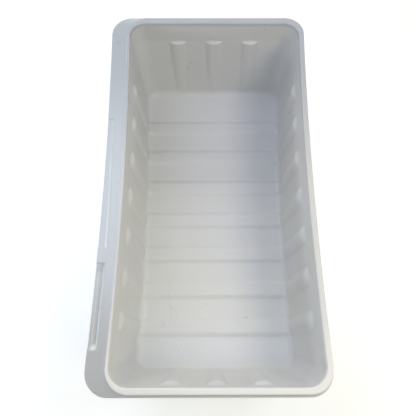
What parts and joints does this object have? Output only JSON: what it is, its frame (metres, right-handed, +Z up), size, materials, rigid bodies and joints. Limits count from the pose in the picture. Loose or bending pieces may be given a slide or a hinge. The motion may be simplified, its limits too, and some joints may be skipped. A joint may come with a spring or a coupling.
{
  "type": "paint roller tray",
  "caption": "Deep rectangular paint roller tray with waisted sides, a wide recessed grip flange along a long side, and a ribbed and fluted lift-out liner.",
  "frame": {"origin": "centre of the middle bar under the base, on the plane that the tray stands on, below the centre of the well", "axes": "+Z up out of the well, +Y along the tray away from the end that has the deep flange recess, +X across the tray away from the grip flange"},
  "size_m": [0.2872, 0.5316, 0.1674],
  "materials": {
    "tray_plastic": "semi-gloss, cool white",
    "liner_plastic": "semi-gloss, warm white"
  },
  "bodies": {
    "tray": {"tray": "tray_plastic"},
    "liner": {"liner": "liner_plastic"}
  },
  "joints": [
    {"name": "liner_lift", "type": "slide", "parent": "tray", "child": "liner", "axis": [0, 0, 1], "range_m": [0, 0.17]}
  ]
}
